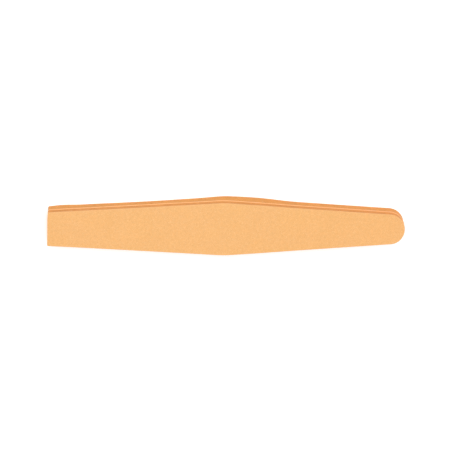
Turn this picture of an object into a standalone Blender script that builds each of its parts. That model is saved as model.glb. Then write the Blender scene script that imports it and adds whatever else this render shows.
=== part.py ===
"""Sanding stick: a seven-inch foam sanding board with a square butt and a round nose.

A stiff plastic strip is the core. A foam pad is glued to each side of it, and an
abrasive sheet (grit on a backing paper, with its own adhesive) covers each pad.
Everything is die-cut to one tapered outline that is widest near mid-length.

Units are metres. +X runs along the stick from the butt to the nose, +Y across it,
and +Z from the rear abrasive face at z = 0 to the front abrasive face.
"""

import math

import bmesh
import bpy

# Outline.
LENGTH = 0.178
BUTT_WIDTH = 0.0172
WAIST_WIDTH = 0.0270
WAIST_X = -0.0012
NOSE_RADIUS = 0.0077
BUTT_CORNER_RADIUS = 0.0006
WAIST_CORNER_RADIUS = 0.060

# The soft rear half stands out a little past the waist, where the foam swelled after the cut.
SWELL_HEIGHT = 0.0009
SWELL_X = 0.015
SWELL_REACH_TO_BUTT = 0.034
SWELL_REACH_TO_NOSE = 0.022

# Layer thicknesses. The gaps between neighbours are part of the total.
THICKNESS = 0.012
LAYER_GAP = 0.00005
GRIT_THICKNESS = 0.00015
PAPER_THICKNESS = 0.00022
ADHESIVE_THICKNESS = 0.00008
CORE_THICKNESS = 0.0008
FRONT_PAD_THICKNESS = 0.00385

# Fineness of the curved stretches, and the fold above which an edge is shaded sharp.
NOSE_STEPS = 36
CORNER_STEPS = 6
SIDE_STEPS = 24
SHARP_EDGE_ANGLE = math.radians(30)

# Colours (linear red, green, blue) and surface roughness.
GRIT_COLOUR = (0.83, 0.44, 0.16)
PAPER_COLOUR = (0.74, 0.37, 0.13)
ADHESIVE_COLOUR = (0.66, 0.34, 0.11)
FOAM_COLOUR = (0.66, 0.26, 0.06)
CORE_COLOUR = (0.97, 0.53, 0.20)
GRIT_ROUGHNESS = 0.85
PAPER_ROUGHNESS = 0.75
ADHESIVE_ROUGHNESS = 0.35
FOAM_ROUGHNESS = 0.80
CORE_ROUGHNESS = 0.40


def clear_scene():
    for scene_object in list(bpy.data.objects):
        bpy.data.objects.remove(scene_object, do_unlink=True)


def make_collection(name):
    collection = bpy.data.collections.new(name)
    bpy.context.scene.collection.children.link(collection)
    return collection


def make_material(name, colour, roughness):
    material = bpy.data.materials.new(name)
    material.use_nodes = True
    shader = material.node_tree.nodes["Principled BSDF"]
    shader.inputs["Base Color"].default_value = (*colour, 1.0)
    shader.inputs["Roughness"].default_value = roughness
    shader.inputs["Metallic"].default_value = 0.0
    return material


def rounded_corner(before, corner, after, radius):
    """Points of the arc that rounds a corner between two straight runs."""
    heading_in = math.atan2(corner[1] - before[1], corner[0] - before[0])
    heading_out = math.atan2(after[1] - corner[1], after[0] - corner[0])
    turn = heading_out - heading_in
    setback = radius * math.tan(abs(turn) / 2)
    side = math.copysign(1.0, turn)
    start_x = corner[0] - setback * math.cos(heading_in)
    start_y = corner[1] - setback * math.sin(heading_in)
    centre_x = start_x - side * radius * math.sin(heading_in)
    centre_y = start_y + side * radius * math.cos(heading_in)
    points = []
    for step in range(CORNER_STEPS + 1):
        heading = heading_in + turn * step / CORNER_STEPS
        x = centre_x + side * radius * math.sin(heading)
        y = centre_y - side * radius * math.cos(heading)
        points.append((x, y))
    return points


def nose_arc(centre_x, tangent_angle):
    """Points of the nose, from its tangent to the +Y taper round to the tip."""
    points = []
    for step in range(NOSE_STEPS // 2 + 1):
        angle = tangent_angle * (1.0 - step / (NOSE_STEPS // 2))
        x = centre_x + NOSE_RADIUS * math.cos(angle)
        y = NOSE_RADIUS * math.sin(angle)
        points.append((x, y))
    return points


def straight_run(start, end):
    """Points between two ends of a straight side, without the ends."""
    points = []
    for step in range(1, SIDE_STEPS):
        share = step / SIDE_STEPS
        x = start[0] + (end[0] - start[0]) * share
        y = start[1] + (end[1] - start[1]) * share
        points.append((x, y))
    return points


def swell(x):
    """How far the rear half stands out sideways at x: a soft, lopsided hump."""
    reach = SWELL_REACH_TO_BUTT if x < SWELL_X else SWELL_REACH_TO_NOSE
    share = min(abs(x - SWELL_X) / reach, 1.0)
    return SWELL_HEIGHT * 0.5 * (1.0 + math.cos(math.pi * share))


def half_outline():
    """The +Y side of the stick, from the middle of the butt to the tip of the nose."""
    nose_x = LENGTH / 2 - NOSE_RADIUS
    waist = (WAIST_X, WAIST_WIDTH / 2)
    reach = math.hypot(waist[0] - nose_x, waist[1])
    bearing = math.atan2(waist[1], waist[0] - nose_x)
    tangent_angle = bearing - math.acos(NOSE_RADIUS / reach)

    butt_middle = (-LENGTH / 2, 0.0)
    butt_corner = (-LENGTH / 2, BUTT_WIDTH / 2)
    nose = nose_arc(nose_x, tangent_angle)
    butt_arc = rounded_corner(butt_middle, butt_corner, waist, BUTT_CORNER_RADIUS)
    waist_arc = rounded_corner(butt_corner, waist, nose[0], WAIST_CORNER_RADIUS)
    to_waist = straight_run(butt_arc[-1], waist_arc[0])
    to_nose = straight_run(waist_arc[-1], nose[0])
    return butt_arc + to_waist + waist_arc + to_nose + nose


def outline(swollen):
    """The whole closed outline; the -Y side mirrors the +Y side."""
    upper = half_outline()
    if swollen:
        upper = [(x, y + swell(x)) for x, y in upper[:-1]] + upper[-1:]
    lower = [(x, -y) for x, y in reversed(upper[:-1])]
    return upper + lower


def add_layer(collection, name, bottom, thickness, swollen, material):
    """One die-cut layer: the flat outline, filled and extruded to its thickness."""
    points = outline(swollen)
    curve = bpy.data.curves.new(name, "CURVE")
    curve.dimensions = "2D"
    curve.fill_mode = "BOTH"
    curve.extrude = thickness / 2
    spline = curve.splines.new("POLY")
    spline.points.add(len(points) - 1)
    for point, (x, y) in zip(spline.points, points):
        point.co = (x, y, 0.0, 1.0)
    spline.use_cyclic_u = True
    curve.materials.append(material)
    layer = bpy.data.objects.new(name, curve)
    layer.location.z = bottom + thickness / 2
    collection.objects.link(layer)
    return layer


def add_flared_layer(collection, name, bottom, thickness, material):
    """The rear pad: a loft from the swollen outline at its sheet to the true one at the core."""
    shape = bmesh.new()
    base = [shape.verts.new((x, y, 0.0)) for x, y in outline(swollen=True)]
    top = [shape.verts.new((x, y, thickness)) for x, y in outline(swollen=False)]
    for index in range(len(base)):
        following = (index + 1) % len(base)
        shape.faces.new((base[index], base[following], top[following], top[index]))
    shape.faces.new(base)
    shape.faces.new(top)
    bmesh.ops.recalc_face_normals(shape, faces=shape.faces)
    mesh = bpy.data.meshes.new(name)
    shape.to_mesh(mesh)
    shape.free()
    mesh.shade_smooth()
    mesh.set_sharp_from_angle(angle=SHARP_EDGE_ANGLE)
    mesh.materials.append(material)
    layer = bpy.data.objects.new(name, mesh)
    layer.location.z = bottom
    collection.objects.link(layer)
    return layer


def rear_pad_thickness(layer_count):
    """What the other layers and the gaps between them leave of the thickness."""
    sheets = 2 * (GRIT_THICKNESS + PAPER_THICKNESS + ADHESIVE_THICKNESS)
    core_and_bonds = CORE_THICKNESS + 2 * ADHESIVE_THICKNESS
    gaps = (layer_count - 1) * LAYER_GAP
    return THICKNESS - sheets - core_and_bonds - FRONT_PAD_THICKNESS - gaps


def build_stick():
    clear_scene()
    collection = make_collection("sanding_stick")
    grit = make_material("grit", GRIT_COLOUR, GRIT_ROUGHNESS)
    paper = make_material("backing_paper", PAPER_COLOUR, PAPER_ROUGHNESS)
    adhesive = make_material("adhesive", ADHESIVE_COLOUR, ADHESIVE_ROUGHNESS)
    foam = make_material("foam", FOAM_COLOUR, FOAM_ROUGHNESS)
    core = make_material("core_plastic", CORE_COLOUR, CORE_ROUGHNESS)

    # From the rear face up: name, thickness, material.
    rear_sheet = [
        ("rear_grit_coat", GRIT_THICKNESS, grit),
        ("rear_backing_paper", PAPER_THICKNESS, paper),
        ("rear_sheet_adhesive", ADHESIVE_THICKNESS, adhesive),
    ]
    core_and_front = [
        ("rear_core_adhesive", ADHESIVE_THICKNESS, adhesive),
        ("core_strip", CORE_THICKNESS, core),
        ("front_core_adhesive", ADHESIVE_THICKNESS, adhesive),
        ("front_foam_pad", FRONT_PAD_THICKNESS, foam),
        ("front_sheet_adhesive", ADHESIVE_THICKNESS, adhesive),
        ("front_backing_paper", PAPER_THICKNESS, paper),
        ("front_grit_coat", GRIT_THICKNESS, grit),
    ]
    bottom = 0.0
    for name, thickness, material in rear_sheet:
        add_layer(collection, name, bottom, thickness, True, material)
        bottom += thickness + LAYER_GAP

    pad_thickness = rear_pad_thickness(len(rear_sheet) + 1 + len(core_and_front))
    add_flared_layer(collection, "rear_foam_pad", bottom, pad_thickness, foam)
    bottom += pad_thickness + LAYER_GAP

    for name, thickness, material in core_and_front:
        add_layer(collection, name, bottom, thickness, False, material)
        bottom += thickness + LAYER_GAP


build_stick()
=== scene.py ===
"""Looks of the sanding stick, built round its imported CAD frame.

Every layer of the laminate is remade with the surface a real one shows: granular
abrasive faces with a rolled rim, pads of closed-cell foam whose cut sides pull in and
are pitted with opened cells, paper and glue lines, and the cut edge of the plastic core.
Units are metres. The stick lies on its rear face: +X runs from butt to nose, +Z is up.
"""

import math

import bpy
import numpy as np
from mathutils import Matrix, Vector, noise


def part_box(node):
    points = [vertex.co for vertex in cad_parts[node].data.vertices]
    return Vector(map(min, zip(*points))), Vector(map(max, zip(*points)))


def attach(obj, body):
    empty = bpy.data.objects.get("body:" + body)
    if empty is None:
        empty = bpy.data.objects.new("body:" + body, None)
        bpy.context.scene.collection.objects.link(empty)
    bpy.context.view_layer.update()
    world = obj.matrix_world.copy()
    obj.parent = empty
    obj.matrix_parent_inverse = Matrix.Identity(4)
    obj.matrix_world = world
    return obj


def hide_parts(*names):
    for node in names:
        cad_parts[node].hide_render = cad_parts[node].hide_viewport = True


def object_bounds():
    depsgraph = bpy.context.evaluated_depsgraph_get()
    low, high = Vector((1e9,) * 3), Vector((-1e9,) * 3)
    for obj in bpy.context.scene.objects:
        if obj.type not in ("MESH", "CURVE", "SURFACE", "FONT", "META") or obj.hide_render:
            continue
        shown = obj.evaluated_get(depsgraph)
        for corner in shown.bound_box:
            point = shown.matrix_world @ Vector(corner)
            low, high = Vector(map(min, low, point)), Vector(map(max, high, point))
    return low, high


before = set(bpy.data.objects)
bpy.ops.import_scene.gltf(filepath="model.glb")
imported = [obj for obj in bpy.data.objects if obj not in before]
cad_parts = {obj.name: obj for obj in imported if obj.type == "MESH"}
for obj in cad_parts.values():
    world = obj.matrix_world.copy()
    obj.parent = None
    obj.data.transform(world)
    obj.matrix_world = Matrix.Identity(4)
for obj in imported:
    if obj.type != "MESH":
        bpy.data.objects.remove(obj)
cad_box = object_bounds()

MM = 0.001

# ---------------------------------------------------------------- sizes of the surface detail

# Abrasive faces: the spacing of their points, their grains and waves, and their rolled, ragged
# rim. The rows next to the rim stand at these distances from it.
GRIT_PITCH = 0.32 * MM
RIM_ROWS = (0.0, 0.05 * MM, 0.13 * MM, 0.26 * MM, 0.45 * MM)
BUTT_COLUMN_INSET = 0.05 * MM
NOSE_COLUMN_INSET = 0.005 * MM
LEAST_COLUMN_HALF = 0.3 * MM
GRAIN_RELIEF = 0.022 * MM
GRAIN_CLUMP = 0.55 * MM
FINE_GRAIN_SHARE = 0.6
FACE_WAVE = 0.030 * MM
FACE_WAVE_LENGTH = 11.0 * MM
FACE_WAVE_FADE = 2.0 * MM
RIM_ROLL = 0.075 * MM
RIM_ROLL_REACH = 0.30 * MM
RIM_RAGGED = 0.030 * MM
RIM_RAGGED_LENGTH = 0.5 * MM
RIM_RAGGED_REACH = 0.13 * MM
RIM_WEAR_REACH = 1.2 * MM
NOSE_TIP_MARGIN = 0.02 * MM

# Foam sides: how far they pull in between sheet and core, and the cells that the cut opens.
WALL_PITCH = 0.20 * MM
FOAM_PULL_IN = 0.16 * MM
FOAM_PULL_IN_POWER = 0.8
FOAM_EDGE_INSET = 0.02 * MM
FOAM_EDGE_STEEPNESS = 5.0
FOAM_ROUGH = 0.014 * MM
FOAM_ROUGH_LENGTH = 0.6 * MM
FOAM_WAVE = 0.05 * MM
FOAM_WAVE_LENGTH = 9.0 * MM
OPEN_CELLS_PER_MM2 = 0.5
OPEN_CELL_RADIUS = 0.20 * MM
OPEN_CELL_SPREAD = 0.25
OPEN_CELL_DEPTH = 0.40
BIG_CELL_RATIO = 1.5
FOAM_SEEDS = {"front": 3, "rear": 1}

# Painted light and shade: the two pads are lit and shaded copies of one foam. The front pad is
# painted a shade darker, as painted shade, and the rear one a shade paler, as painted light.
FOAM_LIGHT_AND_SHADE_TINTS = {"front": (0.98, 0.98, 0.98), "rear": (1.01, 1.06, 1.06)}

# Films: the paper, the glue and the core strip, which stands a little proud of the foam.
FILM_WOBBLE = 0.012 * MM
FILM_WOBBLE_LENGTH = 2.3 * MM
FILM_CORNER_SHARE = 0.22
PAPER_BEVEL = 0.015 * MM
GLUE_INSET = 0.05 * MM
CORE_PROUD = 0.10 * MM
CORE_BEVEL = 0.06 * MM

# Folds sharper than these many degrees stay sharp.
FACE_SMOOTH_ANGLE = 50
FOAM_SMOOTH_ANGLE = 60
FILM_SMOOTH_ANGLE = 40

# Shifts through the noise, in metres, that make each use of it different.
FACE_NOISE_SHIFT = 0.031
FOAM_WAVE_SHIFT = 3.0
FINE_GRAIN_SHIFT = 5.0
RIM_RAGGED_SHIFT = 11.0

# How the die cut strays from the true outline. The rear half flares near the butt, waves a
# little and sits a hair askew. The front half shares a little of its swell. The butt is cut out
# of square and its front +Y corner is worn round. The -Y side is a little fuller at both ends.
BUTT_FLARE = 0.34 * MM
BUTT_FLARE_X = -82.0 * MM
BUTT_FLARE_REACH = 10.0 * MM
REAR_WAVE = 0.10 * MM
REAR_WAVE_LENGTH = 62.0 * MM
REAR_WAVE_CREST_X = -72.0 * MM
REAR_WAVE_END_X = 40.0 * MM
REAR_WAVE_FADE = 10.0 * MM
REAR_SKEW = 0.0015
FRONT_SWELL_SHARE = 0.12
SWELL_FADE_POWER = 1.6
BUTT_SKEW = 0.24 * MM
BUTT_SKEW_REACH = 20.0 * MM
WORN_CORNER = 0.30 * MM
WORN_CORNER_REACH = 4.0 * MM
WORN_CORNER_SIDE = 0.5
BUTT_FULLNESS = 0.12 * MM
BUTT_FULLNESS_X = -89.0 * MM
BUTT_FULLNESS_REACH = 8.0 * MM
NOSE_FULLNESS = 0.14 * MM
NOSE_FULLNESS_X = 87.0 * MM
NOSE_FULLNESS_REACH = 6.0 * MM

# Added to a half width before dividing by it, as a guard against 0.
WIDTH_GUARD = 1e-9


# ---------------------------------------------------------------- reading the frame

def outline_of(node):
    """The node's outline seen from above, anticlockwise from -180 degrees, as rows of x, y."""
    corners = np.array([v.co[:2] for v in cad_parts[node].data.vertices])
    corners = np.unique(np.round(corners, 6), axis=0)
    bearing = np.arctan2(corners[:, 1], corners[:, 0])
    return corners[np.argsort(bearing)]


def half_width_of(node):
    """x and half width along the node's +Y side, from the butt to the nose."""
    corners = outline_of(node)
    side = corners[corners[:, 1] > 0]
    side = side[np.lexsort((side[:, 1], side[:, 0]))]
    return side[:, 0], side[:, 1]


true_x, true_half = half_width_of("core_strip")
rear_x, rear_half = half_width_of("rear_grit_coat")
butt_x = float(cad_box[0].x)
nose_x = float(cad_box[1].x)

# From the rear up. Each visual layer runs to the middle of the gap that the CAD leaves.
LAYERS = sorted(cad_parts, key=lambda node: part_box(node)[0].z)


def layer_span(node):
    """Lowest and highest z of the visual layer that stands for a node."""
    place = LAYERS.index(node)
    low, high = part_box(node)[0].z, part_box(node)[1].z
    if place > 0:
        low = (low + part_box(LAYERS[place - 1])[1].z) / 2
    if place < len(LAYERS) - 1:
        high = (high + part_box(LAYERS[place + 1])[0].z) / 2
    return low, high


rear_pad_low, rear_pad_high = layer_span("rear_foam_pad")


def rear_share(z):
    """1 in the rear sheet, easing to the front half's share where the rear pad meets the core."""
    rise = np.clip((z - rear_pad_low) / (rear_pad_high - rear_pad_low), 0.0, 1.0)
    return 1.0 - (1.0 - FRONT_SWELL_SHARE) * rise ** SWELL_FADE_POWER


def hump(x, centre, reach):
    """1 at the centre, easing to 0 at reach on both sides."""
    share = np.clip(1.0 - np.abs(x - centre) / reach, 0.0, 1.0)
    return share * share * (3.0 - 2.0 * share)


def swell(x):
    """How much wider the rear half is than the true outline at x, on each side."""
    wider = np.interp(x, rear_x, rear_half) - np.interp(x, true_x, true_half)
    wave = REAR_WAVE * np.cos(2.0 * math.pi * (x - REAR_WAVE_CREST_X) / REAR_WAVE_LENGTH)
    wave = wave * np.clip((REAR_WAVE_END_X - x) / REAR_WAVE_FADE, 0.0, 1.0)
    return wider + wave + BUTT_FLARE * hump(x, BUTT_FLARE_X, BUTT_FLARE_REACH)


def as_cut(x, y, z):
    """Where a point of the true outline, or inside it, really lies at height z."""
    share = rear_share(z)
    half = np.interp(x, true_x, true_half) + WIDTH_GUARD
    side = np.clip(y / half, -1.0, 1.0)
    fuller = NOSE_FULLNESS * hump(x, NOSE_FULLNESS_X, NOSE_FULLNESS_REACH)
    fuller = fuller + BUTT_FULLNESS * hump(x, BUTT_FULLNESS_X, BUTT_FULLNESS_REACH)
    fuller = fuller * np.minimum(side, 0.0)
    skew = BUTT_SKEW * hump(x, butt_x, BUTT_SKEW_REACH) * (side - 1.0) / 2.0
    corner = np.clip((side - WORN_CORNER_SIDE) / (1.0 - WORN_CORNER_SIDE), 0.0, 1.0) ** 2
    worn = WORN_CORNER * hump(x, butt_x, WORN_CORNER_REACH) * corner * (1.0 - share)
    return x + skew + worn, y + fuller + share * (side * swell(x) + REAR_SKEW * x)


# ---------------------------------------------------------------- mesh building

def smooth_noise(points, length, shift=0.0):
    """Soft noise from -1 to 1 whose humps are about length across."""
    return np.array([noise.noise(Vector(p) / length) for p in points + shift])


def object_from(name, points, faces, smooth_angle):
    """A new object with that mesh, shaded smooth up to an angle in degrees."""
    mesh = bpy.data.meshes.new(name)
    mesh.from_pydata(points, [], faces)
    mesh.validate()
    mesh.shade_smooth()
    mesh.set_sharp_from_angle(angle=math.radians(smooth_angle))
    piece = bpy.data.objects.new(name, mesh)
    bpy.context.scene.collection.objects.link(piece)
    return piece


def add_attribute(piece, name, values):
    """One number for each point of the piece, which its material can read."""
    attribute = piece.data.attributes.new(name, "FLOAT", "POINT")
    attribute.data.foreach_set("value", np.asarray(values, np.float32))


def dense_ring(corners, pitch):
    """The outline with every straight run split into steps no longer than pitch."""
    points = []
    for start, end in zip(corners, np.roll(corners, -1, axis=0)):
        steps = max(1, math.ceil(np.linalg.norm(end - start) / pitch))
        for step in range(steps):
            points.append(start + (end - start) * step / steps)
    return np.array(points)


def ring_normals(ring):
    """Unit normals that point out of an anticlockwise ring."""
    along = np.roll(ring, -1, axis=0) - np.roll(ring, 1, axis=0)
    out = np.column_stack((along[:, 1], -along[:, 0]))
    return out / np.linalg.norm(out, axis=1)[:, None]


base_ring = dense_ring(outline_of("core_strip"), WALL_PITCH)
base_normals = ring_normals(base_ring)


def ring_at(z, offset):
    """The outline at height z, moved out by offset, one number or one for each point."""
    moved = base_ring + base_normals * np.reshape(offset, (-1, 1))
    x, y = as_cut(moved[:, 0], moved[:, 1], z)
    return np.column_stack((x, y, np.full(len(x), z)))


def loft(name, rings, smooth_angle):
    """A closed solid through rings of equal length, from the lowest to the highest."""
    count = len(rings[0])
    points = np.vstack(rings)
    faces = []
    for level in range(len(rings) - 1):
        low, high = level * count, (level + 1) * count
        for i in range(count):
            j = (i + 1) % count
            faces.append((low + i, low + j, high + j, high + i))
    faces.append(tuple(reversed(range(count))))
    faces.append(tuple(range((len(rings) - 1) * count, len(rings) * count)))
    return object_from(name, points, faces, smooth_angle)


# ---------------------------------------------------------------- the layers

def open_cells(levels, height, seed):
    """How deep the cut opens cells at each point of a pad's side, as levels by ring points."""
    around = len(base_ring)
    step_round = np.linalg.norm(np.roll(base_ring, -1, axis=0) - base_ring, axis=1).mean()
    step_up = height / levels
    random = np.random.default_rng(seed)
    count = int(OPEN_CELLS_PER_MM2 * around * step_round * height / MM ** 2)
    depth = np.zeros((levels + 1, around))
    for _ in range(count):
        radius = OPEN_CELL_RADIUS * math.exp(OPEN_CELL_SPREAD * random.standard_normal())
        level, place = random.uniform(0, levels), random.uniform(0, around)
        reach_up, reach_round = math.ceil(radius / step_up), math.ceil(radius / step_round)
        ups = np.arange(max(0, int(level) - reach_up), min(levels, int(level) + reach_up + 1) + 1)
        rounds = np.arange(int(place) - reach_round, int(place) + reach_round + 2)
        away_up = ((ups - level) * step_up)[:, None]
        away_round = ((rounds - place) * step_round)[None, :]
        away = np.hypot(away_up, away_round)
        bowl = OPEN_CELL_DEPTH * radius * np.sqrt(np.clip(1.0 - (away / radius) ** 2, 0.0, 1.0))
        patch = np.ix_(ups, rounds % around)
        depth[patch] = np.maximum(depth[patch], bowl)
    return depth


def make_foam_pad(name, node, seed):
    """A pad of closed-cell foam. Its die-cut side pulls in and is pitted with opened cells."""
    low, high = layer_span(node)
    levels = round((high - low) / WALL_PITCH)
    pits = open_cells(levels, high - low, seed)
    rings = []
    for level in range(levels + 1):
        rise = level / levels
        z = low + (high - low) * rise
        edge = min(1.0, FOAM_EDGE_STEEPNESS * rise, FOAM_EDGE_STEEPNESS * (1.0 - rise))
        bow = math.sin(math.pi * rise) ** FOAM_PULL_IN_POWER
        pull_in = FOAM_EDGE_INSET + FOAM_PULL_IN * bow
        flat = np.column_stack((base_ring, np.full(len(base_ring), z)))
        rough = FOAM_ROUGH * smooth_noise(flat, FOAM_ROUGH_LENGTH)
        wave = FOAM_WAVE * smooth_noise(flat, FOAM_WAVE_LENGTH, FOAM_WAVE_SHIFT)
        rings.append(ring_at(z, edge * (rough + wave - pits[level]) - pull_in))
    piece = loft(name, rings, FOAM_SMOOTH_ANGLE)
    # The depth of the opened cells, which the material turns into painted shade in them.
    deepest = OPEN_CELL_DEPTH * OPEN_CELL_RADIUS * BIG_CELL_RATIO
    add_attribute(piece, "pit_shade", np.clip(pits / deepest, 0.0, 1.0).ravel())
    return piece


def make_film(name, node, offset, bevel=0.0):
    """A thin layer whose edge stands at offset from the outline, with its corners eased."""
    low, high = layer_span(node)
    flat = np.column_stack((base_ring, np.full(len(base_ring), low)))
    wobble = FILM_WOBBLE * smooth_noise(flat, FILM_WOBBLE_LENGTH)
    eased = offset - bevel + wobble
    full = offset + wobble
    corner = (high - low) * FILM_CORNER_SHARE
    rings = [
        ring_at(low, eased),
        ring_at(low + corner, full),
        ring_at(high - corner, full),
        ring_at(high, eased),
    ]
    return loft(name, rings, FILM_SMOOTH_ANGLE)


def face_columns():
    """x of an abrasive face's columns: even steps, the outline's corners, one beside the butt."""
    even = np.arange(butt_x, nose_x, GRIT_PITCH)
    columns = np.concatenate((even, true_x, [butt_x + BUTT_COLUMN_INSET]))
    columns = np.unique(np.round(columns, 6))
    half = np.interp(columns, true_x, true_half)
    return columns[(columns < nose_x - NOSE_COLUMN_INSET) & (half > LEAST_COLUMN_HALF)]


def face_rows():
    """Places across a face, from -1 to 1 of the half width at the waist, finer at the rims."""
    widest = float(true_half.max())
    inner = widest - RIM_ROWS[-1]
    steps = round(2 * inner / GRIT_PITCH)
    middle = [-inner + 2 * inner * step / steps for step in range(steps + 1)]
    rim = [widest - reach for reach in reversed(RIM_ROWS[:-1])]
    return np.array([-place for place in reversed(rim)] + middle + rim) / widest


def rim_distance(x, y, half):
    """Distance from a face's point to the nearest edge of the outline, roughly."""
    sides = half - np.abs(y)
    ends = np.minimum(x - butt_x, nose_x - x + NOSE_TIP_MARGIN)
    return np.minimum(sides, ends)


def abrasive_surface(columns, rows, surface, facing):
    """Points of an abrasive face, column by column, and how far each one is from the rim."""
    x = np.repeat(columns, len(rows))
    half = np.interp(x, true_x, true_half)
    y = np.tile(rows, len(columns)) * half
    to_rim = rim_distance(x, y, half)
    flat = np.column_stack((x, y, np.full(len(x), surface + facing * FACE_NOISE_SHIFT)))

    fine = smooth_noise(flat, GRAIN_CLUMP / 2, FINE_GRAIN_SHIFT)
    grains = smooth_noise(flat, GRAIN_CLUMP) + FINE_GRAIN_SHARE * fine
    relief = GRAIN_RELIEF * (1.0 + FINE_GRAIN_SHARE - grains) * 0.5
    wave = 0.5 + 0.5 * smooth_noise(flat, FACE_WAVE_LENGTH)
    inner = np.clip(to_rim / FACE_WAVE_FADE, 0.0, 1.0)
    roll = RIM_ROLL * np.exp(-(to_rim / RIM_ROLL_REACH) ** 2)
    z = surface - facing * (relief + FACE_WAVE * wave * inner + roll)

    ragged = RIM_RAGGED * smooth_noise(flat, RIM_RAGGED_LENGTH, RIM_RAGGED_SHIFT)
    ragged = np.where(to_rim < RIM_RAGGED_REACH, ragged, 0.0)
    points = np.column_stack((*as_cut(x, y + ragged * np.sign(y), surface), z))
    return points, to_rim


def grid_faces(down, across):
    """Quads of a grid of points, and its rim as one closed loop of points."""
    faces = []
    for c in range(down - 1):
        for r in range(across - 1):
            a = c * across + r
            faces.append((a, a + across, a + across + 1, a + 1))
    bottom_side = [c * across for c in range(down)]
    nose_side = [(down - 1) * across + r for r in range(1, across)]
    top_side = [c * across + across - 1 for c in reversed(range(down - 1))]
    butt_side = list(reversed(range(1, across - 1)))
    return faces, bottom_side + nose_side + top_side + butt_side


def make_grit_coat(name, node, facing):
    """An abrasive face: grains in clumps over a gently uneven pad, rolled down at the rim."""
    low, high = layer_span(node)
    surface, back = (high, low) if facing > 0 else (low, high)
    columns, rows = face_columns(), face_rows()
    points, to_rim = abrasive_surface(columns, rows, surface, facing)
    faces, rim = grid_faces(len(columns), len(rows))

    start = len(points)
    back_points = points[rim].copy()
    back_points[:, 2] = back
    points = np.vstack((points, back_points))
    for i in range(len(rim)):
        j = (i + 1) % len(rim)
        faces.append((rim[i], start + i, start + j, rim[j]))
    faces.append(tuple(start + i for i in reversed(range(len(rim)))))
    if facing < 0:
        faces = [tuple(reversed(face)) for face in faces]
    piece = object_from(name, points, faces, FACE_SMOOTH_ANGLE)
    inward = np.clip(to_rim / RIM_WEAR_REACH, 0.0, 1.0)
    add_attribute(piece, "rim", np.concatenate((inward, np.zeros(len(rim)))))
    return piece


# ---------------------------------------------------------------- materials

# Sizes of the finest detail.
GRAIN_SIZE = 0.14 * MM
DUST_SIZE = 0.06 * MM
FOAM_CELL_SIZE = 0.24 * MM
FOAM_FINE_CELL_SIZE = 0.11 * MM
PINHOLE_SPACING = 0.48 * MM

# Linear colours. The nose tints multiply a colour more and more between these two places.
GRIT_TONES = (
    (0.00, (0.690, 0.310, 0.090)),
    (0.06, (0.795, 0.395, 0.135)),
    (0.35, (0.820, 0.428, 0.153)),
    (0.75, (0.845, 0.450, 0.169)),
    (0.93, (0.875, 0.500, 0.216)),
    (1.00, (0.925, 0.625, 0.355)),
)
# Foam colour from the pale cell walls (0) to the cell middles (1). The darker middles are painted
# shade in the recessed cells.
FOAM_TONES_AND_CELL_SHADE = (
    (0.0, (0.736, 0.311, 0.075)),
    (0.5, (0.672, 0.256, 0.054)),
    (1.0, (0.625, 0.222, 0.043)),
)
PAPER_TONES = (
    (0.25, (0.600, 0.270, 0.085)),
    (0.50, (0.740, 0.370, 0.130)),
    (0.75, (0.860, 0.500, 0.220)),
)
GLUE_TONES = (
    (0.30, (0.560, 0.250, 0.070)),
    (0.60, (0.700, 0.380, 0.130)),
)
CORE_TONES = (
    (0.25, (0.955, 0.452, 0.144)),
    (0.50, (0.985, 0.512, 0.183)),
    (0.80, (0.995, 0.595, 0.265)),
)
FLOOR_TONES = (
    (0.3, (0.885, 0.885, 0.885)),
    (0.7, (0.895, 0.895, 0.895)),
)
GRIT_BLUSH = (1.0, 0.995, 0.95)
WORN_GRIT = (0.80, 0.46, 0.19)
# Painted shade in the pinholes and in the opened cells of the foam's cut side.
PINHOLE_SHADE_COLOUR = (0.479, 0.138, 0.023)
PIT_SHADE_COLOUR = (0.530, 0.162, 0.030)
GRIT_NOSE_TINT = (1.0, 0.985, 0.965)
FOAM_NOSE_TINT = (1.0, 0.955, 0.930)
CORE_NOSE_TINT = (0.985, 0.905, 0.890)
NOSE_TINT_START_X = 0.0
NOSE_TINT_END_X = 75.0 * MM


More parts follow.
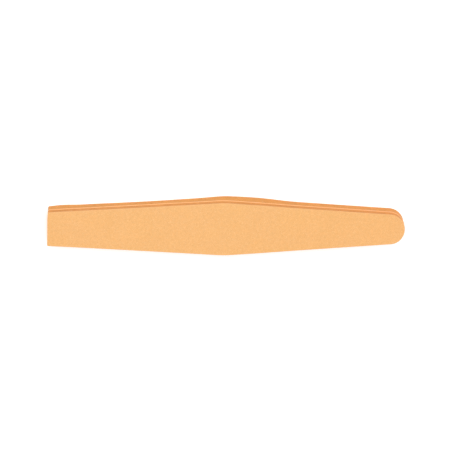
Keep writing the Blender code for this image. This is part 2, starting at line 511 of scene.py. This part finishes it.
class Nodes:
    """A short way to add and link the nodes of one material or world."""

    def __init__(self, owner):
        owner.use_nodes = True
        self.owner = owner
        self.tree = owner.node_tree

    def add(self, kind, settings=None, **inputs):
        node = self.tree.nodes.new(kind)
        for key, value in (settings or {}).items():
            setattr(node, key, value)
        for key, value in inputs.items():
            self.put(node.inputs[key.replace("_", " ")], value)
        return node

    def put(self, socket, value):
        """Links another node's socket, or sets a plain value."""
        if isinstance(value, bpy.types.NodeSocket):
            self.tree.links.new(value, socket)
        else:
            socket.default_value = value

    def place(self, stretch=(1.0, 1.0, 1.0)):
        """Object coordinates, stretched along x, y and z."""
        coordinates = self.add("ShaderNodeTexCoord").outputs["Object"]
        mapping = self.add("ShaderNodeMapping", Vector=coordinates)
        mapping.inputs["Scale"].default_value = stretch
        return mapping.outputs["Vector"]

    def deepen_to_nose(self, place, colour, tint):
        """The colour, multiplied by a tint that comes in from mid-length to the nose."""
        along = self.add("ShaderNodeSeparateXYZ", Vector=place).outputs["X"]
        share = self.span(along, NOSE_TINT_START_X, NOSE_TINT_END_X)
        return self.mix("MULTIPLY", share, colour, tint)

    def noise(self, place, length, detail=2.0, roughness=0.5):
        made = self.add("ShaderNodeTexNoise", Vector=place, Scale=1.0 / length, Detail=detail)
        made.inputs["Roughness"].default_value = roughness
        return made.outputs["Fac"]

    def cells(self, place, size, feature="F1"):
        made = self.add("ShaderNodeTexVoronoi", {"feature": feature}, Vector=place)
        made.inputs["Scale"].default_value = 1.0 / size
        return made

    def math(self, operation, a, b=0.0, c=0.0):
        made = self.add("ShaderNodeMath", {"operation": operation})
        for socket, value in zip(made.inputs, (a, b, c)):
            self.put(socket, value)
        return made.outputs[0]

    def span(self, value, low, high, to_low=0.0, to_high=1.0, step="LINEAR"):
        """The value, mapped from the range low to high onto the range to_low to to_high."""
        made = self.add("ShaderNodeMapRange", {"interpolation_type": step}, Value=value)
        numbers = {"From Min": low, "From Max": high, "To Min": to_low, "To Max": to_high}
        for key, number in numbers.items():
            made.inputs[key].default_value = number
        return made.outputs["Result"]

    def ramp(self, value, stops):
        made = self.add("ShaderNodeValToRGB", Fac=value)
        ramp = made.color_ramp
        while len(ramp.elements) < len(stops):
            ramp.elements.new(0.5)
        for element, (position, colour) in zip(ramp.elements, stops):
            element.position = position
            element.color = (*colour, 1.0)
        return made.outputs["Color"]

    def mix(self, blend, factor, colour, other):
        """The colour, blended with another one that is a socket or red, green and blue."""
        made = self.add("ShaderNodeMix", {"data_type": "RGBA", "blend_type": blend})
        self.put(made.inputs[0], factor)
        self.put(made.inputs[6], colour)
        if not isinstance(other, bpy.types.NodeSocket):
            other = (*other, 1.0)
        self.put(made.inputs[7], other)
        return made.outputs[2]

    def grey(self, value):
        made = self.add("ShaderNodeCombineColor", Red=value, Green=value, Blue=value)
        return made.outputs[0]

    def bump(self, height, distance, strength=1.0, normal=None):
        made = self.add("ShaderNodeBump", Height=height, Distance=distance, Strength=strength)
        if normal is not None:
            self.put(made.inputs["Normal"], normal)
        return made.outputs["Normal"]

    def attribute(self, name):
        return self.add("ShaderNodeAttribute", {"attribute_name": name}).outputs["Fac"]

    def finish(self, colour, roughness, normal):
        shader = self.tree.nodes["Principled BSDF"]
        self.put(shader.inputs["Base Color"], colour)
        self.put(shader.inputs["Roughness"], roughness)
        self.put(shader.inputs["Normal"], normal)
        return self.owner


def material_nodes(name):
    """The nodes of a new material."""
    return Nodes(bpy.data.materials.new(name))


def grit_material():
    """Peach-orange aluminium oxide grains in a resin of the same colour."""
    n = material_nodes("grit")
    place = n.place()
    grain = n.cells(place, GRAIN_SIZE)
    tone = n.add("ShaderNodeSeparateColor", Color=grain.outputs["Color"])
    colour = n.ramp(tone.outputs["Red"], GRIT_TONES)
    clump = n.span(n.noise(place, 1.5 * MM, 2.0), 0.25, 0.75, 0.965, 1.035)
    patch = n.span(n.noise(place, 9.0 * MM, 2.0), 0.3, 0.7, 0.99, 1.01)
    colour = n.mix("MULTIPLY", 1.0, colour, n.grey(n.math("MULTIPLY", clump, patch)))
    tint = n.span(n.noise(place, 16.0 * MM, 2.0), 0.3, 0.7)
    colour = n.mix("MULTIPLY", tint, colour, GRIT_BLUSH)
    colour = n.deepen_to_nose(place, colour, GRIT_NOSE_TINT)
    worn = n.span(n.attribute("rim"), 0.0, 0.35, 0.45, 0.0)
    colour = n.mix("MIX", worn, colour, WORN_GRIT)
    roughness = n.span(tone.outputs["Green"], 0.0, 1.0, 0.66, 0.95)
    height = n.math("SUBTRACT", 1.0, grain.outputs["Distance"])
    dust = n.noise(place, DUST_SIZE, 2.0)
    normal = n.bump(dust, 0.008 * MM)
    normal = n.bump(height, 0.040 * MM, 0.8, normal)
    return n.finish(colour, roughness, normal)


def foam_material(name, tint):
    """Orange closed-cell foam, cut: pale cell walls round small cells whose recessed middles are
    painted darker, with pinholes and opened cells painted darker still, all as painted shade. The
    tint paints the front pad a shade darker and the rear pad a shade paler, as painted shade and
    painted light.
    """
    n = material_nodes(name)
    place = n.place()
    cells = n.cells(place, FOAM_CELL_SIZE, "DISTANCE_TO_EDGE").outputs["Distance"]
    small = n.cells(place, FOAM_FINE_CELL_SIZE, "DISTANCE_TO_EDGE").outputs["Distance"]
    # The recessed middles of the cells are painted darker: painted shade.
    opened = n.span(cells, 0.02, 0.32)
    colour = n.ramp(opened, FOAM_TONES_AND_CELL_SHADE)
    pinhole = n.cells(place, PINHOLE_SPACING)
    chance = n.add("ShaderNodeSeparateColor", Color=pinhole.outputs["Color"]).outputs["Red"]
    hole = n.span(pinhole.outputs["Distance"], 0.12, 0.24, 1.0, 0.0)
    hole = n.math("MULTIPLY", hole, n.span(chance, 0.35, 0.75))
    # Painted shade: the pinholes, which the bump below sinks, are painted dark.
    colour = n.mix("MIX", n.math("MULTIPLY", hole, 0.5), colour, PINHOLE_SHADE_COLOUR)
    # Painted shade: the opened cells cut into the side are painted darker the deeper they are.
    pit_shade = n.span(n.attribute("pit_shade"), 0.1, 1.0, 0.0, 0.25)
    colour = n.mix("MIX", pit_shade, colour, PIT_SHADE_COLOUR)
    patch = n.span(n.noise(place, 7.0 * MM, 3.0), 0.3, 0.7, 0.95, 1.05)
    scuffs = n.span(n.noise(n.place((1.0, 1.0, 0.12)), 0.35 * MM, 2.0), 0.3, 0.7, 0.96, 1.035)
    colour = n.mix("MULTIPLY", 1.0, colour, n.grey(n.math("MULTIPLY", patch, scuffs)))
    # The tint paints the whole pad: painted shade on the front pad, painted light on the rear one.
    colour = n.mix("MULTIPLY", 1.0, colour, tint)
    colour = n.deepen_to_nose(place, colour, FOAM_NOSE_TINT)
    roughness = n.span(n.noise(place, 0.4 * MM), 0.3, 0.7, 0.78, 0.95)
    normal = n.bump(n.span(small, 0.0, 0.3, 1.0, 0.0), 0.015 * MM)
    normal = n.bump(n.math("SUBTRACT", 1.0, opened), 0.045 * MM, 0.8, normal)
    normal = n.bump(n.math("SUBTRACT", 1.0, hole), 0.080 * MM, 1.0, normal)
    return n.finish(colour, roughness, normal)


def paper_material():
    """The cut edge of a heavy backing paper soaked with orange latex."""
    n = material_nodes("backing_paper")
    fibres = n.noise(n.place((0.25, 0.25, 3.0)), 0.25 * MM, 4.0, 0.6)
    place = n.place()
    colour = n.ramp(fibres, PAPER_TONES)
    patch = n.span(n.noise(place, 4.0 * MM), 0.3, 0.7, 0.92, 1.05)
    colour = n.mix("MULTIPLY", 1.0, colour, n.grey(patch))
    roughness = n.span(fibres, 0.3, 0.7, 0.70, 0.92)
    return n.finish(colour, roughness, n.bump(fibres, 0.020 * MM))


def adhesive_material():
    """A thin film of amber glue with a soft gloss."""
    n = material_nodes("adhesive")
    place = n.place()
    streak = n.noise(n.place((0.4, 0.4, 1.0)), 0.7 * MM, 3.0)
    colour = n.ramp(streak, GLUE_TONES)
    roughness = n.span(n.noise(place, 0.5 * MM), 0.3, 0.7, 0.30, 0.50)
    return n.finish(colour, roughness, n.bump(streak, 0.008 * MM))


def core_material():
    """The cut edge of a light orange plastic strip, finely scored by the die."""
    n = material_nodes("core_plastic")
    place = n.place()
    score = n.noise(n.place((1.0, 1.0, 0.08)), 0.16 * MM, 3.0)
    colour = n.ramp(score, CORE_TONES)
    patch = n.span(n.noise(place, 5.0 * MM), 0.3, 0.7, 0.93, 1.03)
    colour = n.mix("MULTIPLY", 1.0, colour, n.grey(patch))
    colour = n.deepen_to_nose(place, colour, CORE_NOSE_TINT)
    roughness = n.span(n.noise(place, 0.6 * MM), 0.3, 0.7, 0.32, 0.55)
    return n.finish(colour, roughness, n.bump(score, 0.015 * MM))


def floor_material():
    """Matt white acrylic, lit from below so that hardly any shadow is left on it."""
    n = material_nodes("studio_board")
    shader = n.tree.nodes["Principled BSDF"]
    shader.inputs["Emission Color"].default_value = (1.0, 1.0, 1.0, 1.0)
    shader.inputs["Emission Strength"].default_value = FLOOR_GLOW
    fleck = n.noise(n.place(), 3.0 * MM, 3.0)
    colour = n.ramp(fleck, FLOOR_TONES)
    return n.finish(colour, n.span(fleck, 0.3, 0.7, 0.85, 0.95), n.bump(fleck, 0.02 * MM, 0.3))


# ---------------------------------------------------------------- assembling the stick

def fit_piece(piece, node, material):
    """Material, slot and place in the frame for the piece that stands for one node."""
    piece.data.materials.append(material)
    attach(piece, "root")
    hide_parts(node)


def build_stick():
    grit = grit_material()
    paper = paper_material()
    glue = adhesive_material()
    core = core_material()
    for end, facing in (("front", 1), ("rear", -1)):
        coat = make_grit_coat(f"{end}_abrasive_face", f"{end}_grit_coat", facing)
        fit_piece(coat, f"{end}_grit_coat", grit)
        sheet = make_film(f"{end}_paper", f"{end}_backing_paper", 0.0, PAPER_BEVEL)
        fit_piece(sheet, f"{end}_backing_paper", paper)
        film = make_film(f"{end}_sheet_glue", f"{end}_sheet_adhesive", -GLUE_INSET)
        fit_piece(film, f"{end}_sheet_adhesive", glue)
        pad = make_foam_pad(f"{end}_foam", f"{end}_foam_pad", FOAM_SEEDS[end])
        # The front pad's tint is painted shade and the rear pad's is painted light.
        foam = foam_material(f"{end}_foam", FOAM_LIGHT_AND_SHADE_TINTS[end])
        fit_piece(pad, f"{end}_foam_pad", foam)
        bond = make_film(f"{end}_core_glue", f"{end}_core_adhesive", -GLUE_INSET)
        fit_piece(bond, f"{end}_core_adhesive", glue)
    strip = make_film("core_plate", "core_strip", CORE_PROUD, CORE_BEVEL)
    fit_piece(strip, "core_strip", core)


# ---------------------------------------------------------------- the studio

FLOOR_RADIUS = 0.8
FLOOR_VERTICES = 96
FLOOR_GLOW = 0.25
SOFTBOX_SIZE = 1.2
SOFTBOX_DISTANCE = 2.2
SOFTBOX_POWER = 30.5

# Sky brightness low down and overhead, how much brighter it is on the nose's side, and the
# parts of the direction's Z and X over which it changes.
SKY_LOW = 1.05
SKY_HIGH = 0.475
SKY_NOSE_SIDE = 2.0
SKY_LOW_Z = 0.12
SKY_HIGH_Z = 0.45
SKY_SIDE_X = 0.4

VIEW_TILT = math.radians(16.0)
VIEW_YAW = math.radians(0.75)
VIEW_ROLL = 0.0048
VIEW_DISTANCE = 1.56
VIEW_LENS = 249.5
VIEW_RIGHT = -0.11 * MM
VIEW_UP = 1.72 * MM
SENSOR_WIDTH = 36.0
CLIP_NEAR = 0.05
CLIP_FAR = 50.0


def view_axes():
    """The camera's right, up and back directions, as unit vectors."""
    back = Vector((
        -math.sin(VIEW_YAW),
        math.cos(VIEW_YAW) * math.sin(VIEW_TILT),
        math.cos(VIEW_YAW) * math.cos(VIEW_TILT),
    ))
    level_right = Vector((0.0, 1.0, 0.0)).cross(back).normalized()
    level_up = back.cross(level_right)
    right = level_right * math.cos(VIEW_ROLL) + level_up * math.sin(VIEW_ROLL)
    return right, back.cross(right), back


def add_camera(right, up, back):
    """Looks down at the front face, tilted to see the +Y edge, which is up in the picture."""
    data = bpy.data.cameras.new("photo_camera")
    data.lens = VIEW_LENS
    data.sensor_width = SENSOR_WIDTH
    data.clip_start = CLIP_NEAR
    data.clip_end = CLIP_FAR
    camera = bpy.data.objects.new("photo_camera", data)
    face_centre = Vector((0.0, 0.0, cad_box[1].z))
    spot = face_centre + right * VIEW_RIGHT + up * VIEW_UP + back * VIEW_DISTANCE
    turn = Matrix((right, up, back)).transposed().to_4x4()
    camera.matrix_world = Matrix.Translation(spot) @ turn
    bpy.context.scene.collection.objects.link(camera)
    bpy.context.scene.camera = camera


def add_softbox(right, up, back):
    """One big round softbox behind the camera, so that the stick hides its own shadow."""
    data = bpy.data.lights.new("softbox", "AREA")
    data.shape = "DISK"
    data.size = SOFTBOX_SIZE
    data.energy = SOFTBOX_POWER
    light = bpy.data.objects.new("softbox", data)
    turn = Matrix((right, up, back)).transposed().to_4x4()
    light.matrix_world = Matrix.Translation(back * SOFTBOX_DISTANCE) @ turn
    bpy.context.scene.collection.objects.link(light)


def add_sky():
    """A white studio: bright low down, dimmer overhead, and brightest on the nose's side."""
    world = bpy.data.worlds.new("studio")
    n = Nodes(world)
    way = n.add("ShaderNodeTexCoord").outputs["Generated"]
    parts = n.add("ShaderNodeSeparateXYZ", Vector=way).outputs
    height = n.span(parts["Z"], SKY_LOW_Z, SKY_HIGH_Z, SKY_LOW, SKY_HIGH, "SMOOTHSTEP")
    side = n.span(parts["X"], SKY_SIDE_X, 1.0, 1.0, SKY_NOSE_SIDE, "SMOOTHSTEP")
    background = n.tree.nodes["Background"]
    background.inputs["Color"].default_value = (1.0, 1.0, 1.0, 1.0)
    n.put(background.inputs["Strength"], n.math("MULTIPLY", height, side))
    bpy.context.scene.world = world


def add_floor():
    bpy.ops.mesh.primitive_circle_add(
        vertices=FLOOR_VERTICES,
        radius=FLOOR_RADIUS,
        fill_type="NGON",
    )
    floor = bpy.context.object
    floor.name = "studio_floor"
    floor.data.materials.append(floor_material())


def add_studio():
    axes = view_axes()
    add_camera(*axes)
    add_softbox(*axes)
    add_sky()
    add_floor()
    scene = bpy.context.scene
    scene.view_settings.view_transform = "Standard"
    scene.view_settings.look = "None"


build_stick()
add_studio()
